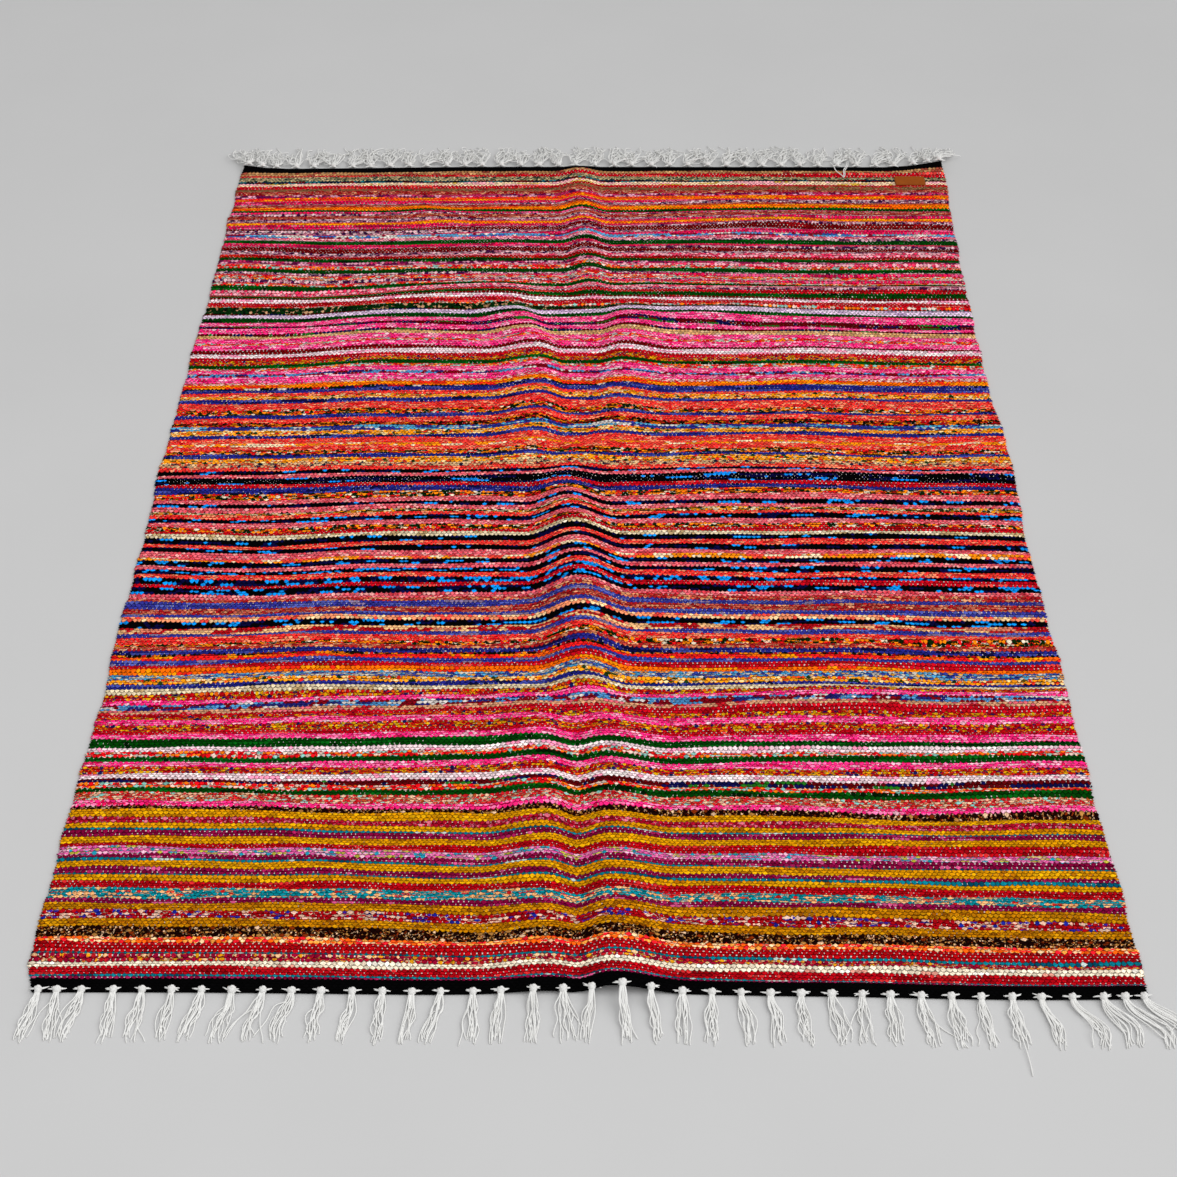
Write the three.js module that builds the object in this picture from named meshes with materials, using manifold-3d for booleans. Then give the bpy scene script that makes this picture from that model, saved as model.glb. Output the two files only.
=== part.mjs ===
// Flat-woven striped rug with knotted cotton fringes, lying on a floor in the folds left by packing.
// Millimetres. X runs across the rug, Y along it with the far end at +Y, and Z up from the floor.
// "along" is the distance from the far end of the cloth towards the near end.

import * as THREE from 'three';
import Module from 'manifold-3d';

const wasm = await Module();
wasm.setup();

// Cloth, one woven piece with its heading bands
const clothLength = 2000;
const clothThickness = 5;
const clothColumns = 36;
const clothRows = 40;
const creaseCrowding = 0.6; // 0 spaces the columns evenly, towards 1 they gather at the middle crease
const edgeColumn = 44; // width of the outermost column on each side, where a corner can turn up
const slopeStep = 2;

// Side edges as they lie, drawn in a little where the middle crease takes up cloth
const outline = table(['along', 'left', 'right'], [
  [0, -699, 702],
  [100, -702, 698],
  [250, -700, 690],
  [400, -701, 688],
  [650, -705, 684],
  [950, -708, 693],
  [1200, -706, 685],
  [1450, -709, 694],
  [1500, -705, 691],
  [1650, -710, 693],
  [1850, -714, 703],
  [2000, -704, 707],
]);

// Cross-sections of the middle crease, which turns over at the three cross folds.
// A ridge stands on the crease, or a shoulder rises on either side of a valley.
const creaseSections = table(
  ['along', 'ridgeAt', 'ridgeRise', 'ridgeSpread', 'leftAt', 'leftRise', 'rightAt', 'rightRise'],
  [
    [0, -28, 5, 50, -150, 0, 60, 0],
    [100, -24, 10, 50, -150, 0, 60, 0],
    [250, -14, 14, 50, -150, 0, 60, 0],
    [400, -5, 12, 48, -150, 0, 60, 0],
    [440, -3, 8, 48, -150, 3, 60, 0],
    [480, 0, 0, 50, -150, 8, 60, 4],
    [530, 0, 0, 60, -128, 15, 60, 13],
    [600, 0, 0, 60, -102, 16, 56, 14],
    [680, 0, 0, 60, -88, 14, 54, 10],
    [850, -20, 0, 65, -88, 15, 34, 9],
    [910, -28, 4, 65, -98, 10, 10, 6],
    [960, -38, 9, 65, -100, 4, 0, 2],
    [1010, -40, 18, 65, -90, 0, 10, 0],
    [1060, -34, 26, 72, -75, 0, 20, 0],
    [1120, -27, 30, 80, -75, 0, 24, 0],
    [1210, -20, 32, 82, -75, 0, 24, 0],
    [1310, -13, 31, 82, -75, 0, 24, 0],
    [1460, -9, 22, 70, -75, 1, 24, 0],
    [1500, -5, 8, 60, -75, 6, 24, 5],
    [1540, 0, 1, 60, -72, 11, 24, 11],
    [1650, 0, 0, 60, -60, 12, 28, 11],
    [1710, 0, 0, 60, -62, 15, 30, 13],
    [1860, 0, 0, 60, -62, 10, 32, 13],
    [2000, 0, 0, 60, -46, 6, 28, 15],
  ],
);
const shoulderOuterSpread = 95;
const shoulderInnerSpread = 68;

// Low folds that branch off the crease or lie on their own, highest half way along
const branchFolds = table(['fromX', 'fromAlong', 'toX', 'toAlong', 'rise', 'spread'], [
  [-430, 465, -20, 430, 10, 60],
  [-20, 555, 420, 480, 8, 60],
  [-390, 130, -230, 240, 6, 55],
  [180, 250, 520, 160, 4, 45],
  [40, 1640, 600, 1810, 6, 50],
  [-600, 1600, -230, 1890, 5, 55],
  [-260, 1880, 0, 1780, 5, 50],
  [20, 1500, 520, 1480, 4, 30],
  [-520, 1535, -20, 1540, 4, 35],
]);

// Far corners that turn up from the floor
const cornerCurls = table(['x', 'along', 'rise', 'spread'], [
  [-699, 0, 9, 60],
  [702, 0, 15, 62],
]);

// Fringe, the warp ends gathered into knotted bundles on a narrow strip at each end of the cloth
const pieceGap = 0.3;
const bundleCount = 39;
const bundleInset = 12;
const bundleJitter = 4;
const fringeLength = 68;
const fringeLengthJitter = 9;
const lockFan = 9;
const bundleLean = 8;
const cornerSweepBundles = 5;
// The strip across one bundle, from the knot's left foot to its right foot.
// Where lock is not 0, one lock of yarn leaves the outer face before the next row.
const knotSections = table(['offset', 'depth', 'height', 'lock'], [
  [-9, 4, 4, 0],
  [-5.5, 9, 8, 1],
  [-1.8, 11, 9.5, 1],
  [1.8, 11, 9.5, 1],
  [5.5, 9, 8, 0],
  [9, 4, 4, 0],
]);
// Each station of a lock beyond its root: share of the length, share of the fan, and its size
const lockStations = table(['share', 'fan', 'width', 'height'], [
  [0.45, 0.6, 3.5, 3.5],
  [1, 1, 3, 2.5],
]);

// Both ends of the cloth: which way is outwards, and how far the corner bundles sweep aside
const [nearEnd, farEnd] = table(['along', 'outwards', 'rightSweep', 'leftSweep', 'seed'], [
  [clothLength, -1, 46, 0, 11],
  [0, 1, 12, -12, 47],
]);

// Leather patch sewn on near the far right corner
const patchX = 628;
const patchAlong = 49;
const patchWidth = 60;
const patchHeight = 33;
const patchThickness = 1.6;
const patchCutHeight = 60;

// Numbers that make the uneven spacing repeatable
const scatterTurn = 12.9898;
const scatterSpread = 43758.5453;

function table(columns, rows) {
  return rows.map((row) => Object.fromEntries(columns.map((name, index) => [name, row[index]])));
}

// Straight blend of the two rows on either side of a distance from the far end
function rowAt(rows, along) {
  const last = rows.length - 1;
  const found = rows.findIndex((row) => row.along > along);
  const upper = found < 0 ? last : Math.max(found, 1);
  const before = rows[upper - 1];
  const after = rows[upper];
  const share = THREE.MathUtils.clamp((along - before.along) / (after.along - before.along), 0, 1);
  const blended = Object.keys(before).map((name) => [
    name,
    THREE.MathUtils.lerp(before[name], after[name], share),
  ]);
  return Object.fromEntries(blended);
}

// Rounded hump, 1 at the middle and 0 from a distance of 1 outwards
function hump(distance) {
  return Math.abs(distance) < 1 ? (1 + Math.cos(Math.PI * distance)) / 2 : 0;
}

// Repeatable uneven value from -1 to 1 for a whole number
function scatter(index) {
  const wave = Math.sin(index * scatterTurn) * scatterSpread;
  return 2 * (wave - Math.floor(wave)) - 1;
}

function branchRise(fold, x, along) {
  const runX = fold.toX - fold.fromX;
  const runAlong = fold.toAlong - fold.fromAlong;
  const offset = (x - fold.fromX) * runX + (along - fold.fromAlong) * runAlong;
  const share = THREE.MathUtils.clamp(offset / (runX * runX + runAlong * runAlong), 0, 1);
  const nearX = fold.fromX + share * runX;
  const nearAlong = fold.fromAlong + share * runAlong;
  const distance = Math.hypot(x - nearX, along - nearAlong);
  return fold.rise * hump(2 * share - 1) * hump(distance / fold.spread);
}

// Height of the cloth's underside above the floor
function undersideAt(x, along) {
  const section = rowAt(creaseSections, along);
  const leftSpread = x < section.leftAt ? shoulderOuterSpread : shoulderInnerSpread;
  const rightSpread = x > section.rightAt ? shoulderOuterSpread : shoulderInnerSpread;
  let rise = section.ridgeRise * hump((x - section.ridgeAt) / section.ridgeSpread);
  rise += section.leftRise * hump((x - section.leftAt) / leftSpread);
  rise += section.rightRise * hump((x - section.rightAt) / rightSpread);
  for (const fold of branchFolds) {
    rise += branchRise(fold, x, along);
  }
  for (const curl of cornerCurls) {
    rise += curl.rise * hump(Math.hypot(x - curl.x, along - curl.along) / curl.spread);
  }
  return rise;
}

// Height of the cloth's upper face, a full thickness away square to the slope
function upperAt(x, along) {
  const here = undersideAt(x, along);
  const slopeX = (undersideAt(x + slopeStep, along) - here) / slopeStep;
  const slopeAlong = (undersideAt(x, along + slopeStep) - here) / slopeStep;
  return here + clothThickness * Math.sqrt(1 + slopeX * slopeX + slopeAlong * slopeAlong);
}

// X of a grid column, from 0 at the left edge to clothColumns at the right edge
function columnX(column, along) {
  const edges = rowAt(outline, along);
  if (column === 0) {
    return edges.left;
  }
  if (column === clothColumns) {
    return edges.right;
  }
  const even = (2 * (column - 1)) / (clothColumns - 2) - 1;
  const place = (1 - creaseCrowding) * even + creaseCrowding * even ** 3;
  return THREE.MathUtils.lerp(edges.left + edgeColumn, edges.right - edgeColumn, (place + 1) / 2);
}

function alongToY(along) {
  return clothLength / 2 - along;
}

function geometryFrom(positions, faces) {
  const geometry = new THREE.BufferGeometry();
  geometry.setAttribute('position', new THREE.Float32BufferAttribute(positions, 3));
  geometry.setIndex(faces);
  return geometry;
}

// Closed slab between an upper and a lower grid of points, columns running left to right
// and rows running from the far side to the near side
function slabGeometry(columns, rows, pointAt) {
  const positions = [];
  const faces = [];
  const upper = (column, row) => row * (columns + 1) + column;
  const lower = (column, row) => (rows + 1 + row) * (columns + 1) + column;
  const quad = (a, b, c, d) => faces.push(a, b, c, a, c, d);
  for (const isUpper of [true, false]) {
    for (let row = 0; row <= rows; row += 1) {
      for (let column = 0; column <= columns; column += 1) {
        positions.push(...pointAt(isUpper, column, row));
      }
    }
  }
  for (let row = 0; row < rows; row += 1) {
    for (let column = 0; column < columns; column += 1) {
      const right = column + 1;
      const near = row + 1;
      quad(upper(column, near), upper(right, near), upper(right, row), upper(column, row));
      quad(lower(column, row), lower(right, row), lower(right, near), lower(column, near));
    }
  }
  for (let column = 0; column < columns; column += 1) {
    const right = column + 1;
    quad(upper(column, 0), upper(right, 0), lower(right, 0), lower(column, 0));
    quad(lower(column, rows), lower(right, rows), upper(right, rows), upper(column, rows));
  }
  for (let row = 0; row < rows; row += 1) {
    const near = row + 1;
    quad(lower(0, row), lower(0, near), upper(0, near), upper(0, row));
    quad(upper(columns, row), upper(columns, near), lower(columns, near), lower(columns, row));
  }
  return geometryFrom(positions, faces);
}

function toSolid(geometry) {
  const mesh = new wasm.Mesh({
    numProp: 3,
    vertProperties: new Float32Array(geometry.attributes.position.array),
    triVerts: new Uint32Array(geometry.index.array),
  });
  return new wasm.Manifold(mesh);
}

function toGeometry(solid) {
  const mesh = solid.getMesh();
  return geometryFrom([...mesh.vertProperties], [...mesh.triVerts]);
}

function clothGeometry() {
  return slabGeometry(clothColumns, clothRows, (upper, column, row) => {
    const along = (row / clothRows) * clothLength;
    const x = columnX(column, along);
    const z = upper ? upperAt(x, along) : undersideAt(x, along);
    return [x, alongToY(along), z];
  });
}

// How far a bundle near a corner is swept aside, growing towards the corner
function cornerSweep(end, bundle) {
  const fromLeft = Math.max(0, 1 - bundle / cornerSweepBundles);
  const fromRight = Math.max(0, 1 - (bundleCount - 1 - bundle) / cornerSweepBundles);
  return end.leftSweep * fromLeft + end.rightSweep * fromRight;
}

// Sections of the knotted strip from the left edge to the right edge, with the locks that leave them
function stripSections(end) {
  const edges = rowAt(outline, end.along);
  const foot = knotSections[0];
  const sections = [{ ...foot, x: edges.left }];
  for (let bundle = 0; bundle < bundleCount; bundle += 1) {
    const seed = end.seed + bundle * (knotSections.length + 2);
    const share = bundle / (bundleCount - 1);
    const jitter = share > 0 && share < 1 ? bundleJitter * scatter(seed) : 0;
    const evenX = THREE.MathUtils.lerp(edges.left + bundleInset, edges.right - bundleInset, share);
    const knotX = evenX + jitter;
    const lean = bundleLean * scatter(seed + 1) + cornerSweep(end, bundle);
    knotSections.forEach((row, order) => {
      const reach = fringeLength + fringeLengthJitter * scatter(seed + 2 + order);
      const sideways = lean + lockFan * (order - (knotSections.length - 2) / 2);
      sections.push({ ...row, x: knotX + row.offset, reach, sideways });
    });
  }
  sections.push({ ...foot, x: edges.right });
  return sections;
}

// Knotted strip beside the end of the cloth, following its rise and fall, with locks of four sides
// that leave the knots, come down and lie level on the floor
function fringeGeometry(end) {
  const positions = [];
  const faces = [];
  const innerY = alongToY(end.along) + end.outwards * pieceGap;
  const point = (x, outwards, z) => {
    positions.push(x, innerY + end.outwards * outwards, z);
    return positions.length / 3 - 1;
  };
  const face = (a, b, c) => (end.outwards > 0 ? faces.push(a, b, c) : faces.push(a, c, b));
  const quad = (a, b, c, d) => {
    face(a, b, c);
    face(a, c, d);
  };
  const addLock = (root, section, middleX) => {
    let ring = root;
    for (const station of lockStations) {
      const x = middleX + section.sideways * station.fan;
      const outwards = section.depth + section.reach * station.share;
      const next = [
        point(x - station.width / 2, outwards, 0),
        point(x - station.width / 2, outwards, station.height),
        point(x + station.width / 2, outwards, station.height),
        point(x + station.width / 2, outwards, 0),
      ];
      for (let corner = 0; corner < ring.length; corner += 1) {
        const beside = (corner + 1) % ring.length;
        quad(ring[corner], ring[beside], next[beside], next[corner]);
      }
      ring = next;
    }
    quad(...ring);
  };
  const sections = stripSections(end).map((section) => {
    const base = undersideAt(section.x, end.along);
    return {
      ...section,
      innerLow: point(section.x, 0, base),
      innerHigh: point(section.x, 0, base + section.height),
      outerHigh: point(section.x, section.depth, base + section.height),
      outerLow: point(section.x, section.depth, base),
    };
  });
  const first = sections[0];
  const last = sections[sections.length - 1];
  quad(first.innerLow, first.innerHigh, first.outerHigh, first.outerLow);
  quad(last.innerLow, last.outerLow, last.outerHigh, last.innerHigh);
  for (let order = 0; order < sections.length - 1; order += 1) {
    const left = sections[order];
    const right = sections[order + 1];
    quad(left.innerHigh, right.innerHigh, right.outerHigh, left.outerHigh);
    quad(left.outerLow, right.outerLow, right.innerLow, left.innerLow);
    quad(left.innerLow, right.innerLow, right.innerHigh, left.innerHigh);
    const outer = [left.outerLow, left.outerHigh, right.outerHigh, right.outerLow];
    if (left.lock) {
      addLock(outer, left, (left.x + right.x) / 2);
    } else {
      quad(...outer);
    }
  }
  return geometryFrom(positions, faces);
}

// Thin patch on the cloth's upper face: the layer between two raised copies of the cloth, cut to size
function patchGeometry(cloth) {
  const cutter = slabGeometry(1, 1, (upper, column, row) => {
    const x = patchX + (column - 0.5) * patchWidth;
    const along = patchAlong + (row - 0.5) * patchHeight;
    return [x, alongToY(along), upper ? patchCutHeight : 0];
  });
  const patchFace = toSolid(cloth).translate([0, 0, pieceGap + patchThickness]);
  const patchBack = toSolid(cloth).translate([0, 0, pieceGap]);
  return toGeometry(patchFace.subtract(patchBack).intersect(toSolid(cutter)));
}

function namedMesh(name, geometry, material) {
  const mesh = new THREE.Mesh(geometry, new THREE.MeshStandardMaterial(material));
  mesh.name = name;
  return mesh;
}

const group = new THREE.Group();
const cloth = clothGeometry();
const weave = { color: '#a6414b', roughness: 0.95, metalness: 0 };
const cotton = { color: '#e4e2dd', roughness: 0.95, metalness: 0 };
const leather = { color: '#9c5a2e', roughness: 0.6, metalness: 0 };
group.add(namedMesh('rug_cloth', cloth, weave));
group.add(namedMesh('fringe_near', fringeGeometry(nearEnd), cotton));
group.add(namedMesh('fringe_far', fringeGeometry(farEnd), cotton));
group.add(namedMesh('leather_patch', patchGeometry(cloth), leather));

// The origin is on the floor, under the middle of the whole rug
const middle = new THREE.Box3().setFromObject(group).getCenter(new THREE.Vector3());
group.position.set(-middle.x, -middle.y, 0);

export default group;
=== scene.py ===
import math

import bpy
import numpy as np
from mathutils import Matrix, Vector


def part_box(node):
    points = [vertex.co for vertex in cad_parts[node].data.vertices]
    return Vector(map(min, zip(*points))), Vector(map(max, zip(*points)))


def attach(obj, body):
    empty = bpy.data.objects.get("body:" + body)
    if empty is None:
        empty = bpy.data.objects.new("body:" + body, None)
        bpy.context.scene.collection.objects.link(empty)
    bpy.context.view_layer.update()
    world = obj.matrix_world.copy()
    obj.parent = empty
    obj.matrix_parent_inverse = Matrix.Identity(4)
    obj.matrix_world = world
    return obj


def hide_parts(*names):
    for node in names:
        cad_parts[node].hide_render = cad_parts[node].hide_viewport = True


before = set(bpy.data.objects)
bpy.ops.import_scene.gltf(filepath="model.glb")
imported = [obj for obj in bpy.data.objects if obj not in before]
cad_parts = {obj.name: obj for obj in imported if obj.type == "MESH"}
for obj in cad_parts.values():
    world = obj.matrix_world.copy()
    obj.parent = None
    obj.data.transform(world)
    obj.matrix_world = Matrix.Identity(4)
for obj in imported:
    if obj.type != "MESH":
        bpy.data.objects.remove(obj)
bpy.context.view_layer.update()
mm = 0.001
scene = bpy.context.scene
scene.view_settings.view_transform = "Standard"  # dyed yarn keeps its full strength

# The cloth as it lies, in millimetres. x runs across, along runs from the far end to the near end.
cloth = {
    "length": 2000,
    "width": 1400,
    "thickness": 5,
    "warpPitch": 3.65,
    "pickPitch": 4.25,  # one weft yarn from the next
    "crestRise": 0.35,
    "valleyDrop": 0.6,
    "turnBulge": 1.4,  # weft loops that turn back at the side edges
    "chartX": 430,  # where the stripe widths were measured, on both sides of the middle
    "thinnest": 0.7,  # least width of a stripe
    "wander": 2.4,  # how far the edge of one stripe strays
    "sway": 1.5,  # how far neighbouring stripes swing together
    "sideStep": 0.7,  # how unevenly the stripes end at the sides
    "seed": 5,
    "creaseBlend": 26,  # length over which the tables below are smoothed
    # along, left edge, right edge
    "outline": [
        (0, -692, 696), (24, -700, 701), (100, -702, 698), (250, -700, 690), (400, -701, 688), (650, -705, 684),
        (950, -708, 693), (1200, -706, 685), (1450, -709, 694), (1500, -705, 691), (1650, -710, 693),
        (1850, -714, 700), (1960, -711, 700), (2000, -697, 700),
    ],
    # along, ridge place, ridge rise, ridge spread, left shoulder place and rise, right shoulder place and rise
    "crease": [
        (0, -28, 9, 50, -150, 0, 60, 0), (100, -24, 11, 50, -150, 0, 60, 0),
        (250, -14, 14, 50, -150, 0, 60, 0), (400, -5, 12, 48, -150, 0, 60, 0),
        (440, -3, 8, 48, -150, 3, 60, 0), (480, 0, 0, 50, -150, 8, 60, 4),
        (530, 0, 0, 60, -128, 15, 60, 13), (600, 0, 0, 60, -102, 16, 56, 14),
        (680, 0, 0, 60, -88, 14, 54, 10), (850, -20, 0, 65, -88, 15, 34, 9),
        (910, -28, 4, 65, -98, 10, 10, 6), (960, -38, 9, 65, -100, 4, 0, 2),
        (1010, -40, 18, 65, -90, 0, 10, 0), (1060, -34, 26, 72, -75, 0, 20, 0),
        (1120, -27, 30, 80, -75, 0, 24, 0), (1210, -20, 32, 82, -75, 0, 24, 0),
        (1310, -13, 31, 82, -75, 0, 24, 0), (1460, -9, 22, 70, -75, 1, 24, 0),
        (1500, -5, 8, 60, -72, 7, 24, 6), (1540, 0, 1, 60, -68, 12, 24, 12),
        (1650, 0, 0, 60, -60, 15, 26, 14), (1710, 0, 0, 60, -58, 18, 27, 16),
        (1860, 0, 0, 60, -57, 15, 27, 18), (1930, 0, 0, 60, -54, 9, 28, 18), (2000, 0, 0, 60, -52, 5, 30, 17),
    ],
    "shoulderOuter": 95,
    "shoulderInner": 48,
    "valleyRound": 0.9,
    # from x, from along, to x, to along, rise, spread
    "branches": [
        (-430, 465, -20, 430, 10, 60), (-20, 555, 420, 480, 8, 60), (-390, 130, -230, 240, 6, 55),
        (180, 250, 520, 160, 4, 45), (40, 1640, 600, 1810, 6, 50), (-600, 1600, -230, 1890, 5, 55),
        (-260, 1880, 0, 1780, 5, 50), (20, 1500, 520, 1480, 4, 30), (-520, 1535, -20, 1540, 4, 35),
    ],
    # x, along, rise, spread: two corners that curl up, and the end of the ridge, which bends down
    "curls": [(-695, 0, 9, 70), (699, 0, 16, 100), (-28, 0, -8, 60)],
    "curlSharp": 2.4,  # a curl dies away faster towards the near end than across
    # where the cloth is drawn out of line: x, along, how far towards the near end, reach across and along
    "drawn": [
        (-700, 0, 9, 560, 420), (-660, 360, -8, 260, 170), (560, 2000, 5, 320, 300),
        (-560, 2000, -3.2, 480, 240), (10, 2000, -4.5, 240, 200),
    ],
}

# Yarns as the weaver wound them: bumps in one run of a colour, how far the white warp shows, then colours with
# their shares
yarns = {
    "black": (9, 0.0, ("#0b0a0c", 1)),
    "camel": (2, 0.2, ("#b98c62", 0.6), ("#d0a678", 0.2), ("#a65a48", 0.2)),
    "red": (8, 0.6, ("#c4122a", 0.78), ("#a80f1e", 0.15), ("#e2554f", 0.07)),
    "garnet": (6, 0.45, ("#b41022", 0.8), ("#980c1a", 0.12), ("#cc3a3c", 0.08)),
    "sage": (0.5, 0.3, ("#8f8c6c", 0.4), ("#c8b48e", 0.35), ("#33493a", 0.25)),
    "night": (4, 0.3, ("#2b1524", 0.35), ("#7d1220", 0.3), ("#16364f", 0.25), ("#0f7f8c", 0.1)),
    "cream": (6, 0.1, ("#efd3b4", 0.6), ("#f2b6bd", 0.25), ("#d9b84f", 0.15)),
    "taupe": (2, 0.2, ("#94704f", 0.7), ("#b04a42", 0.2), ("#6f5238", 0.1)),
    "brick": (1.2, 0.3, ("#a8222a", 0.55), ("#bd6a58", 0.32), ("#d7a07c", 0.13)),
    "plumRose": (2, 0.3, ("#7a1a58", 0.35), ("#c23a6c", 0.35), ("#d9a0b4", 0.3)),
    "scarlet": (5, 0.2, ("#ee3030", 0.6), ("#f2701e", 0.25), ("#f2a516", 0.15)),
    "rose": (6, 0.45, ("#d8205f", 0.75), ("#e2608c", 0.15), ("#b01850", 0.1)),
    "plumWhite": (1, 0.4, ("#4a1a52", 0.35), ("#d9b6bc", 0.4), ("#b06a80", 0.25)),
    "orange": (8, 0.1, ("#f07a10", 0.6), ("#f2a010", 0.25), ("#ec3c24", 0.15)),
    "amber": (5, 0.1, ("#f2a51a", 0.6), ("#ee7a1c", 0.4)),
    "green": (8, 0.3, ("#05500f", 0.8), ("#0b6a1e", 0.15), ("#032c08", 0.05)),
    "maroon": (6, 0.7, ("#7c0812", 0.8), ("#9c1a20", 0.2)),
    "sky": (8, 0.2, ("#6aa6cc", 0.45), ("#3f6fb8", 0.2), ("#d9d3cc", 0.2), ("#8a2038", 0.15)),
    "pinkWhite": (1, 0.4, ("#e2416c", 0.5), ("#eab0ba", 0.5)),
    "crimson": (6, 0.6, ("#a80a14", 0.8), ("#c8301e", 0.2)),
    "confetti": (1.2, 0.3, ("#dc1c28", 0.5), ("#ee8a1c", 0.18), ("#e0c8bc", 0.18), ("#8fc0b6", 0.14)),
    "palePink": (4, 0.1, ("#e8d2d6", 0.66), ("#f4a0bc", 0.22), ("#f2e8e6", 0.12)),
    "mossTan": (0.75, 0.2, ("#0d3d12", 0.7), ("#c09a78", 0.15), ("#0a1a0c", 0.15)),
    "maroonNavy": (5, 0.4, ("#6d0a16", 0.6), ("#1d1c58", 0.3), ("#2f7a2a", 0.1)),
    "lilac": (3, 0.1, ("#dcc8da", 0.8), ("#c4a8c8", 0.2)),
    "pink": (1.8, 0.45, ("#f2388a", 0.54), ("#f888b4", 0.26), ("#f2c0ce", 0.1), ("#d41c5c", 0.1)),
    "sand": (3, 0.2, ("#d2a878", 0.8), ("#e2c49c", 0.2)),
    "redFleck": (0.75, 0.4, ("#b8101c", 0.5), ("#d0a414", 0.24), ("#d86a1c", 0.14), ("#22225e", 0.12)),
    "skyMaroon": (3, 0.4, ("#8a0f24", 0.38), ("#5f98c4", 0.3), ("#cfc8c4", 0.1), ("#33337c", 0.22)),
    "redWhite": (0.5, 0.4, ("#d2263c", 0.5), ("#e2bdb4", 0.5)),
    "darkMix": (2, 0.4, ("#14280e", 0.45), ("#22225e", 0.2), ("#c01c28", 0.2), ("#ccc2b4", 0.15)),
    "indigo": (5, 0.4, ("#32348a", 0.7), ("#5058a4", 0.2), ("#1a1a50", 0.1)),
    "coral": (1.5, 0.3, ("#ec4640", 0.62), ("#f2a07c", 0.22), ("#d21c28", 0.16)),
    "amberCream": (1.2, 0.3, ("#f2a420", 0.5), ("#ecd09c", 0.2), ("#e03a26", 0.16), ("#2d4a1e", 0.14)),
    "forestAmber": (1.2, 0.3, ("#16300c", 0.42), ("#f0941a", 0.26), ("#dc1f26", 0.24), ("#e0d2bc", 0.08)),
    "oliveDark": (1.2, 0.3, ("#1a1c0a", 0.5), ("#e08a16", 0.25), ("#c01822", 0.25)),
    "indigoSky": (5, 0.3, ("#3a3f94", 0.6), ("#5fa4c4", 0.25), ("#d2ccc8", 0.15)),
    "amberCoral": (4, 0.2, ("#f29a1e", 0.5), ("#ee5a4a", 0.3), ("#f0d8b8", 0.2)),
    "tanNavy": (0.75, 0.3, ("#d6b48c", 0.5), ("#2a2a48", 0.2), ("#d2543c", 0.3)),
    "salmon": (1.2, 0.15, ("#e2707c", 0.6), ("#d24a58", 0.22), ("#f0b0ac", 0.18)),
    "blackAzure": (2.5, 0.05, ("#08080e", 0.58), ("#15154e", 0.22), ("#18a0ec", 0.2)),
    "blackDotted": (6, 0.4, ("#08080e", 0.7), ("#15154e", 0.22), ("#1f9cf0", 0.08)),
    "azureNavy": (2, 0.1, ("#18a0ec", 0.42), ("#14144c", 0.33), ("#08080e", 0.25)),
    "nearBlack": (3, 0.05, ("#08080e", 0.72), ("#15154e", 0.2), ("#18a0ec", 0.08)),
    "creamTan": (2, 0.1, ("#dccdb0", 0.65), ("#c0a880", 0.25), ("#ece0cc", 0.1)),
    "oliveCream": (1.2, 0.3, ("#34380f", 0.5), ("#dccfb0", 0.2), ("#e09a20", 0.3)),
    "brickTan": (1.2, 0.3, ("#b02a30", 0.55), ("#d8a078", 0.27), ("#c8584c", 0.18)),
    "violet": (4, 0.4, ("#43449a", 0.7), ("#6068b0", 0.2), ("#8a7a9a", 0.1)),
    "peach": (2, 0.2, ("#f0a078", 0.5), ("#ee5c50", 0.25), ("#f2d0a4", 0.25)),
    "peachBrick": (5, 0.3, ("#e8bc8c", 0.4), ("#b81c26", 0.4), ("#d88a70", 0.2)),
    "skyIndigo": (1.5, 0.3, ("#3a4a98", 0.38), ("#5aa0c4", 0.25), ("#c8c0b4", 0.25), ("#d8a03c", 0.12)),
    "rosyTan": (2, 0.2, ("#d2a080", 0.65), ("#d8707c", 0.2), ("#c02a34", 0.15)),
    "redTan": (0.75, 0.4, ("#cc2c34", 0.5), ("#d8b498", 0.3), ("#8cc4bc", 0.1), ("#a8602c", 0.1)),
    "brownMix": (0.25, 0.1, ("#2a0d06", 0.68), ("#b88a50", 0.14), ("#d8b89a", 0.08), ("#8a3c14", 0.1)),
    "mustard": (3, 0.15, ("#d09808", 0.7), ("#e0ae14", 0.2), ("#b47806", 0.1)),
    "ochre": (1.8, 0.2, ("#bc820a", 0.66), ("#cf9a14", 0.2), ("#9a6006", 0.14)),
    "raspberry": (0.5, 0.4, ("#b0183a", 0.66), ("#d8788c", 0.22), ("#8c1030", 0.12)),
    "teal": (4, 0.3, ("#0f8494", 0.8), ("#c4d0cc", 0.06), ("#0a5a70", 0.14)),
    "plum": (4, 0.6, ("#8a0e48", 0.8), ("#a42a62", 0.16), ("#c8608c", 0.04)),
    "orchid": (1.8, 0.4, ("#d468a2", 0.5), ("#e0b4c4", 0.2), ("#b8b048", 0.14), ("#2f9ab0", 0.16)),
    "tealPeach": (1.5, 0.4, ("#12909c", 0.62), ("#e8b480", 0.3), ("#c82a2a", 0.08)),
    "redIndigo": (1.2, 0.5, ("#a81220", 0.64), ("#2c3298", 0.14), ("#dcb8a4", 0.22)),
    "flame": (1.2, 0.1, ("#f0701e", 0.32), ("#f03040", 0.26), ("#f2ac58", 0.22), ("#f2d0a8", 0.2)),
    "darkRed": (7, 0.8, ("#b4101e", 0.85), ("#900c18", 0.15)),
    "plumAmber": (0.75, 0.5, ("#9c1240", 0.5), ("#b82630", 0.25), ("#d8a020", 0.13), ("#dcb890", 0.12)),
    "bone": (3, 0.0, ("#ecdfca", 0.84), ("#d8a090", 0.08), ("#f6f0e4", 0.08)),
}

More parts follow.
